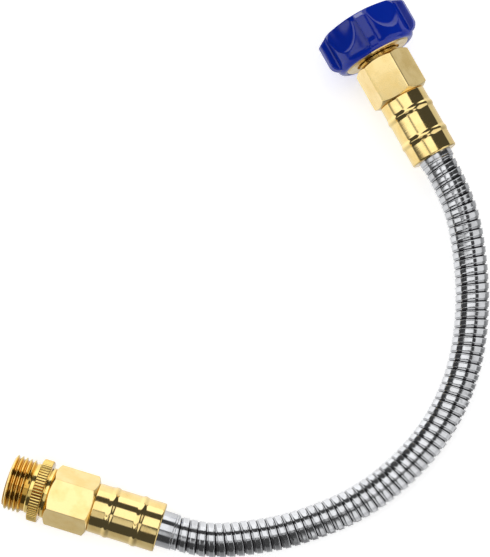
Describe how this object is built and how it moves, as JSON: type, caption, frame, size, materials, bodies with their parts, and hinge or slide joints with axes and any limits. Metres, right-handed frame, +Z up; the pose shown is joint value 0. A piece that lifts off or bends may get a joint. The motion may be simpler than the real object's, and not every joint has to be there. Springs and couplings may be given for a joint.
{
  "type": "hose bend protector",
  "caption": "Short flexible water hose in a strip-wound steel sheath, with a male garden-hose thread at one end and a hand-turned swivel nut with a finned grip at the other.",
  "frame": {"origin": "on the surface the hose lies on, under the centre of the box around the two end fittings", "axes": "+Z up from that surface, +Y from the male end towards the coupling, +X towards the outside of the hose's bend"},
  "size_m": [0.2401, 0.2778, 0.0492],
  "materials": {
    "gold_brass": "bright turned",
    "pale_brass": "satin milled",
    "ferrule_brass": "polished",
    "steel_sleeve": "polished stainless",
    "steel_sheath": "polished stainless",
    "liner_rubber": "smooth",
    "seal_rubber": "matte",
    "blue_plastic": "glossy moulded"
  },
  "bodies": {
    "hose": {"male_nipple": "gold_brass", "male_hex_adapter": "pale_brass", "coupling_hex_adapter": "pale_brass", "male_ferrule": "ferrule_brass", "coupling_ferrule": "ferrule_brass", "swivel_tailpiece": "gold_brass", "male_sheath_sleeve": "steel_sleeve", "coupling_sheath_sleeve": "steel_sleeve", "hose_sheath": "steel_sheath", "hose_liner": "liner_rubber", "male_gasket": "seal_rubber", "coupling_gasket": "seal_rubber"},
    "coupling": {"swivel_nut": "pale_brass", "grip": "blue_plastic", "hose_washer": "seal_rubber"}
  },
  "joints": [
    {"name": "swivel", "type": "hinge", "parent": "hose", "child": "coupling", "pos_m": [0.0721, 0.1119, 0.02323], "axis": [-0.4801, 0.8754, 0.0565], "continuous": true}
  ]
}
